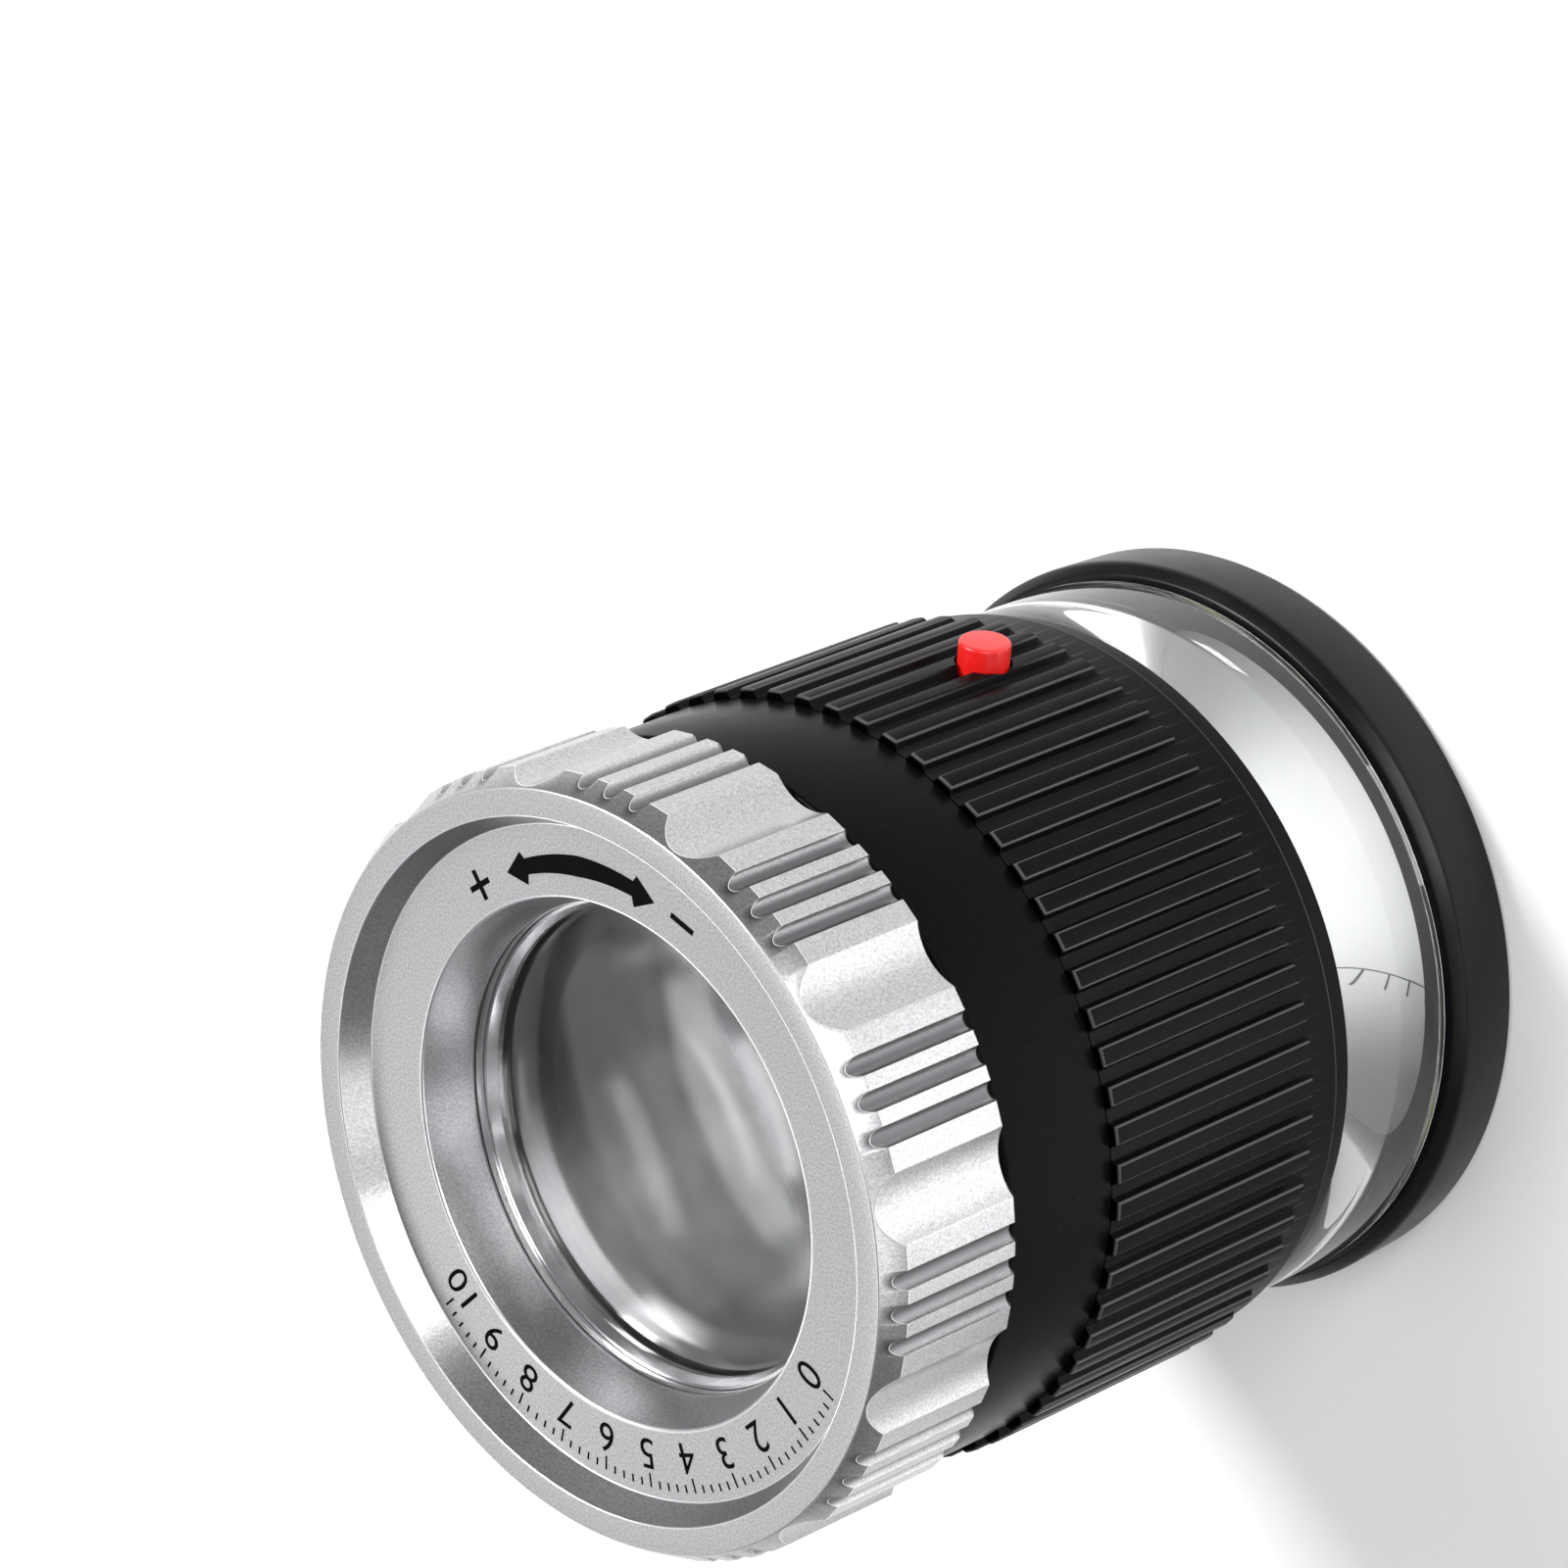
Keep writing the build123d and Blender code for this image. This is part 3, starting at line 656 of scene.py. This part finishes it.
def spherical_face(edge_z, apex_z):
    """Points from the axis out to the seat of one lens face."""
    sag = apex_z - edge_z
    radius = (LENS_SEAT_R**2 + sag**2) / (2 * abs(sag))
    side = 1 if sag > 0 else -1
    face = []
    for step in range(FACE_STEPS + 1):
        r = LENS_SEAT_R * step / FACE_STEPS
        face.append((r, apex_z - side * (radius - math.sqrt(radius**2 - r**2))))
    return face


lens_outline = spherical_face(LENS_EDGE_LOW_Z, LENS_LOW.z)
lens_outline += [(LENS_HIGH.x, LENS_EDGE_LOW_Z), (LENS_HIGH.x, LENS_EDGE_HIGH_Z)]
lens_outline += list(reversed(spherical_face(LENS_EDGE_HIGH_Z, LENS_HIGH.z)))
link_piece("eye_lens_glass", turned_solid("eye_lens_glass", lens_outline), shade_tinted_eye_glass, "carriage",
           ["eye_lens"])

# ---- red button -------------------------------------------------------------------------------------
BUTTON_R = 1.58
BUTTON_FLANGE_R = 2.08
BUTTON_EDGE = 0.22
BUTTON_DOME = 0.05
STEM_R = 0.9
STEM_END, FLANGE_INNER, FLANGE_OUTER = 18.9, 21.0, 21.8     # distances from the optical axis


def button_mesh():
    """The cap, its inner flange and its stem, turned about an axis along -Y."""
    outline = [
        (0.0, STEM_END), (STEM_R, STEM_END), (STEM_R, FLANGE_INNER), (BUTTON_FLANGE_R, FLANGE_INNER),
        (BUTTON_FLANGE_R, FLANGE_OUTER), (BUTTON_R, FLANGE_OUTER),
    ]
    reach = -BUTTON_LOW.y
    flat_r = BUTTON_R - BUTTON_EDGE
    edge_start = reach - BUTTON_DOME - BUTTON_EDGE
    steps = 6
    for step in range(steps + 1):
        turn = math.radians(90) * step / steps
        outline.append((flat_r + BUTTON_EDGE * math.cos(turn), edge_start + BUTTON_EDGE * math.sin(turn)))
    for step in range(steps - 1, -1, -1):
        r = flat_r * step / steps
        outline.append((r, reach - BUTTON_DOME * (r / flat_r) ** 2))
    mesh = turned_solid("red_button", outline, 96)
    mesh.transform(Matrix.Translation((0, 0, BUTTON_Z * MM)) @ Matrix.Rotation(math.radians(90), 4, "X"))
    return mesh


link_piece("red_button", button_mesh(), red, "button", ["light_button"])

# ---- button spring: a coil wound about the button's stem -------------------------------------------
WIRE_R = 0.12
SPRING_TURNS = 3.0


def spring_mesh():
    """A round wire wound about the button's stem."""
    coil_r = (SPRING_HIGH.x - SPRING_LOW.x) / 2 - WIRE_R
    length = SPRING_HIGH.y - SPRING_LOW.y - 2 * WIRE_R
    steps, sides = 120, 10
    points, faces = [], []
    for step in range(steps + 1):
        share = step / steps
        turn = math.tau * SPRING_TURNS * share
        outward = Vector((math.cos(turn), 0, math.sin(turn)))
        centre = outward * coil_r + Vector((0, SPRING_HIGH.y - WIRE_R - length * share, BUTTON_Z))
        for side in range(sides):
            around = math.tau * side / sides
            points.append(tuple(centre + outward * (WIRE_R * math.cos(around))
                                + Vector((0, WIRE_R * math.sin(around), 0))))
    for step in range(steps):
        for side in range(sides):
            ahead = (side + 1) % sides
            here, there = step * sides, (step + 1) * sides
            faces.append((here + side, here + ahead, there + ahead, there + side))
    faces.append(tuple(range(sides)))
    faces.append(tuple(steps * sides + side for side in reversed(range(sides))))
    return smooth_mesh("spring_coil", points, faces, sharp_degrees=60)


spring = link_piece("spring_coil", spring_mesh(), steel, "body", ["button_spring"])
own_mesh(spring)

# ---- printed marks on the dial ----------------------------------------------------------------------
INK_THICK = 0.012


def polar(r, degrees_round):
    """The point at this radius and angle about the optical axis."""
    angle = math.radians(degrees_round)
    return (r * math.cos(angle), r * math.sin(angle))


def flat_marks(name, outlines, z_low, body):
    """Thin printed shapes from closed outlines in millimetres."""
    shape = bmesh.new()
    for outline in outlines:
        low = [shape.verts.new((x * MM, y * MM, z_low * MM)) for x, y in outline]
        high = [shape.verts.new((x * MM, y * MM, (z_low + INK_THICK) * MM)) for x, y in outline]
        shape.faces.new(list(reversed(low)))
        shape.faces.new(high)
        for index in range(len(outline)):
            ahead = (index + 1) % len(outline)
            shape.faces.new((low[index], low[ahead], high[ahead], high[index]))
    bmesh.ops.recalc_face_normals(shape, faces=shape.faces)
    mesh = bpy.data.meshes.new(name)
    shape.to_mesh(mesh)
    shape.free()
    return link_piece(name, mesh, ink, body)


ARROW_R = 18.0
ARROW_BOW = 0.2             # the arrow's arc bulges outward this much at its middle
ARROW_HALF_WIDTH = 0.56
ARROW_HEAD_HALF_WIDTH = 1.0
ARROW_ENDS = (-97.2, -57.3)
ARROW_HEAD_ANGLE = 5.0
ARROW_NECK_ANGLE = 5.8
SHAFT_END_SHARE = 0.75      # of the half width, at the shaft's ends
SHAFT_SWELL = 0.4           # added to that share by its middle


def arrow_outline():
    """A two-headed arrow curved along the dial."""
    low, high = ARROW_ENDS
    neck_low, neck_high = low + ARROW_NECK_ANGLE, high - ARROW_NECK_ANGLE

    def centre_r(angle):
        share = (angle - low) / (high - low)
        return ARROW_R + ARROW_BOW * math.sin(math.pi * share)

    def shaft(angle, side):
        middle = 1 - abs(2 * (angle - low) / (high - low) - 1)
        half_width = ARROW_HALF_WIDTH * (SHAFT_END_SHARE + SHAFT_SWELL * middle)
        return polar(centre_r(angle) + side * half_width, angle)

    steps = 28
    angles = [neck_low + (neck_high - neck_low) * step / steps for step in range(steps + 1)]
    outline = [polar(ARROW_R, low), polar(ARROW_R + ARROW_HEAD_HALF_WIDTH, low + ARROW_HEAD_ANGLE)]
    outline += [shaft(angle, 1) for angle in angles]
    outline.append(polar(ARROW_R + ARROW_HEAD_HALF_WIDTH, high - ARROW_HEAD_ANGLE))
    outline.append(polar(ARROW_R, high))
    outline.append(polar(ARROW_R - ARROW_HEAD_HALF_WIDTH, high - ARROW_HEAD_ANGLE))
    outline += [shaft(angle, -1) for angle in reversed(angles)]
    outline.append(polar(ARROW_R - ARROW_HEAD_HALF_WIDTH, low + ARROW_HEAD_ANGLE))
    return outline


def bar(centre, degrees_round, length, width):
    """A rectangle centred on a point, its length along the given direction."""
    along = Vector(polar(1, degrees_round)) * length / 2
    across = Vector(polar(1, degrees_round + 90)) * width / 2
    middle = Vector(centre)
    return [tuple(middle - along - across), tuple(middle + along - across),
            tuple(middle + along + across), tuple(middle - along + across)]


flat_marks("direction_arrow", [arrow_outline()], DIAL_Z, "eyepiece")

PLUS_ANGLE, MINUS_ANGLE = -48.5, -104.5
SIGN_SIZE, SIGN_WIDTH = 1.9, 0.36
sign_marks = [bar(polar(ARROW_R, PLUS_ANGLE), PLUS_ANGLE, SIGN_SIZE, SIGN_WIDTH)]
half_arm = (SIGN_SIZE - SIGN_WIDTH) / 2
for side in (-1, 1):
    arm_middle = Vector(polar(ARROW_R, PLUS_ANGLE)) + side * Vector(polar(1, PLUS_ANGLE + 90)) * (
        SIGN_WIDTH / 2 + half_arm / 2)
    sign_marks.append(bar(arm_middle, PLUS_ANGLE + 90, half_arm, SIGN_WIDTH))
sign_marks.append(bar(polar(ARROW_R, MINUS_ANGLE), MINUS_ANGLE + 90, SIGN_SIZE, SIGN_WIDTH))
flat_marks("direction_signs", sign_marks, DIAL_Z, "eyepiece")

SCALE_FIRST, SCALE_LAST = 159.0, 49.0
SCALE_NUMBERS = 11
TICK_R = 19.55
TICKS_PER_NUMBER = 5
LONG_TICK, SHORT_TICK, TICK_WIDTH = 0.9, 0.5, 0.14
NUMBER_R = 17.75
NUMBER_HEIGHT = 1.95
DIGIT_SHARE = 0.7           # a digit's height as a share of its font size


def number_mesh(text, height_mm):
    """A figure lying flat, centred on the origin, its top along +Y, thickness upward from zero."""
    curve = bpy.data.curves.new("figure", "FONT")
    curve.body = text
    curve.size = height_mm * MM / DIGIT_SHARE
    curve.align_x = "CENTER"
    curve.align_y = "CENTER"
    curve.resolution_u = 4
    curve.extrude = INK_THICK / 2 * MM
    figure = bpy.data.objects.new("figure", curve)
    bpy.context.scene.collection.objects.link(figure)
    bpy.context.view_layer.update()
    mesh = bpy.data.meshes.new_from_object(figure)
    bpy.data.objects.remove(figure)
    bpy.data.curves.remove(curve)
    mesh.transform(Matrix.Translation((0, 0, INK_THICK / 2 * MM)))
    return mesh


def join_meshes(name, placed):
    """One mesh from several (mesh, matrix) pairs."""
    whole = bmesh.new()
    for mesh, matrix in placed:
        mesh.transform(matrix)
        whole.from_mesh(mesh)
        bpy.data.meshes.remove(mesh)
    bmesh.ops.remove_doubles(whole, verts=whole.verts, dist=1e-7)
    result = bpy.data.meshes.new(name)
    whole.to_mesh(result)
    whole.free()
    return result


step_angle = (SCALE_LAST - SCALE_FIRST) / (SCALE_NUMBERS - 1)
scale_ticks = []
for index in range((SCALE_NUMBERS - 1) * TICKS_PER_NUMBER + 1):
    angle = SCALE_FIRST + step_angle * index / TICKS_PER_NUMBER
    length = LONG_TICK if index % TICKS_PER_NUMBER == 0 else SHORT_TICK
    scale_ticks.append(bar(polar(TICK_R + (LONG_TICK - length) / 2, angle), angle, length, TICK_WIDTH))
flat_marks("dial_ticks", scale_ticks, DIAL_Z, "eyepiece")

figures = []
for index in range(SCALE_NUMBERS):
    angle = SCALE_FIRST + step_angle * index
    x, y = polar(NUMBER_R, angle)
    upright = Matrix.Rotation(math.radians(angle - 90), 4, "Z")
    place = Matrix.Translation((x * MM, y * MM, DIAL_Z * MM)) @ upright
    figures.append((number_mesh(str(index), NUMBER_HEIGHT), place))
link_piece("dial_numbers", join_meshes("dial_numbers", figures), ink, "eyepiece")

# ---- scale printed on the reticle's lower face ------------------------------------------------------
RETICLE_INK_Z = 0.003
RULE_HALF = 15              # millimetres each side of the axis
CROSS_LOW, CROSS_HIGH = -10, -2
RULE_LINE = 0.07            # line width
RULE_NUMBER_Y = 2.9
RULE_NUMBER_HEIGHT = 1.2

rule_marks = [bar((0, 0), 0, 2 * RULE_HALF, RULE_LINE)]
for tick in range(-RULE_HALF, RULE_HALF + 1):
    length = 1.8 if tick % 5 == 0 else 1.0
    rule_marks.append(bar((tick, (length + RULE_LINE) / 2), 90, length, RULE_LINE))
for tick in range(CROSS_LOW, CROSS_HIGH + 1):
    length = 1.6 if tick % 5 == 0 else 0.8
    rule_marks.append(bar(((length + RULE_LINE) / 2, tick), 0, length, RULE_LINE))
flat_marks("reticle_rule", rule_marks, RETICLE_INK_Z, "body")

rule_figures = []
for tick in range(-RULE_HALF, RULE_HALF + 1, 5):
    place = Matrix.Translation((tick * MM, RULE_NUMBER_Y * MM, RETICLE_INK_Z * MM))
    rule_figures.append((number_mesh(str(abs(tick)), RULE_NUMBER_HEIGHT), place))
link_piece("reticle_numbers", join_meshes("reticle_numbers", rule_figures), ink, "body")

# ---- floor, lights and camera ------------------------------------------------------------------------
FLOOR_HALF = 3.0
FLOOR_Z = -0.03 * MM        # just under the reticle's face, which lies flush with the base
TARGET = Vector((0, 0, 27.6)) * MM


def make_floor():
    """A plain pale paper sheet."""
    mesh = bpy.data.meshes.new("floor")
    corners = [(-FLOOR_HALF, -FLOOR_HALF, FLOOR_Z), (FLOOR_HALF, -FLOOR_HALF, FLOOR_Z),
               (FLOOR_HALF, FLOOR_HALF, FLOOR_Z), (-FLOOR_HALF, FLOOR_HALF, FLOOR_Z)]
    mesh.from_pydata(corners, [], [(0, 1, 2, 3)])
    floor = bpy.data.objects.new("floor", mesh)
    bpy.context.scene.collection.objects.link(floor)
    paper = Finish("floor_paper", 0.7)
    cloud = paper.ranged(paper.noise(60.0), 0, 1)
    paper.colour(paper.blend_colours(cloud, (0.86, 0.86, 0.86), (0.88, 0.88, 0.88)))
    mesh.materials.append(paper.material)


def soft_light(name, azimuth, elevation, distance, size, power):
    """A rectangular soft light aimed at the loupe. Azimuth is measured from +X towards +Y."""
    across = math.cos(math.radians(elevation))
    direction = Vector((math.cos(math.radians(azimuth)) * across, math.sin(math.radians(azimuth)) * across,
                        math.sin(math.radians(elevation))))
    lamp = bpy.data.lights.new(name, "AREA")
    lamp.shape = "RECTANGLE"
    lamp.size, lamp.size_y = size
    lamp.energy = power
    holder = bpy.data.objects.new(name, lamp)
    holder.location = TARGET + direction * distance
    holder.rotation_euler = direction.to_track_quat("Z", "Y").to_euler()
    bpy.context.scene.collection.objects.link(holder)


def spot_light(name, place_mm, direction, full_angle, blend, source_r, power):
    """A round soft-edged light shining along a direction."""
    lamp = bpy.data.lights.new(name, "SPOT")
    lamp.energy = power
    lamp.spot_size = math.radians(full_angle)
    lamp.spot_blend = blend
    lamp.shadow_soft_size = source_r
    holder = bpy.data.objects.new(name, lamp)
    holder.location = Vector(place_mm) * MM
    holder.rotation_euler = (-Vector(direction)).to_track_quat("Z", "Y").to_euler()
    bpy.context.scene.collection.objects.link(holder)
    return holder


def inner_lamp(name, place_mm, direction, full_angle, blend, power):
    """A small unseen lamp inside the loupe, standing in for light the real glass lets through."""
    holder = spot_light(name, place_mm, direction, full_angle, blend, 0.003, power)
    holder.visible_camera = holder.visible_glossy = False


make_floor()
soft_light("key_left", -42, 50, 0.9, (0.24, 0.24), 9.0)
soft_light("side_low", 172, 24, 0.6, (0.30, 0.14), 0.4)
soft_light("front_panel", -139, 34, 0.8, (0.50, 0.30), 4.0)
soft_light("face_panel", 35, 40, 0.8, (0.55, 0.30), 0.48)
soft_light("lens_strip", 36, 58, 0.7, (0.40, 0.10), 0.55)
soft_light("lens_panel", 41, 12, 0.7, (0.42, 0.20), 1.2)
spot_light("left_pool", (-88, -22, 350), (0, 0, -1), 22, 1.0, 0.02, 9)     # the silver mirrors it
inner_lamp("led_glow", (-5, -4, HOUSING_LOW.z + 3.4), (0, 0, -1), 62, 0.35, 0.013)
inner_lamp("tube_glow", (3, 4, 43.2), (0.66, 0.72, 0.02), 74, 1.0, 0.06)

world = bpy.data.worlds.new("studio")
world.use_nodes = True
background = world.node_tree.nodes["Background"]
background.inputs["Color"].default_value = (0.95, 0.97, 1.0, 1)
background.inputs["Strength"].default_value = 0.24
bpy.context.scene.world = world

CAMERA_PLACE = Vector((-244.42, -190.40, 302.68)) * MM
CAMERA_AIM = Vector((10.93, -13.23, 29.23)) * MM
CAMERA_ROLL = -110.76
FOCAL_LENGTH = 157.5
SENSOR_WIDTH = 36

lens = bpy.data.cameras.new("camera")
lens.lens = FOCAL_LENGTH
lens.sensor_width = SENSOR_WIDTH
lens.clip_start = 0.01
camera = bpy.data.objects.new("camera", lens)
camera.location = CAMERA_PLACE
aim = (CAMERA_AIM - CAMERA_PLACE).to_track_quat("-Z", "Y")
camera.rotation_mode = "QUATERNION"
camera.rotation_quaternion = aim @ Quaternion((0, 0, 1), math.radians(CAMERA_ROLL))
bpy.context.scene.collection.objects.link(camera)
bpy.context.scene.camera = camera
bpy.context.scene.view_settings.view_transform = "Standard"
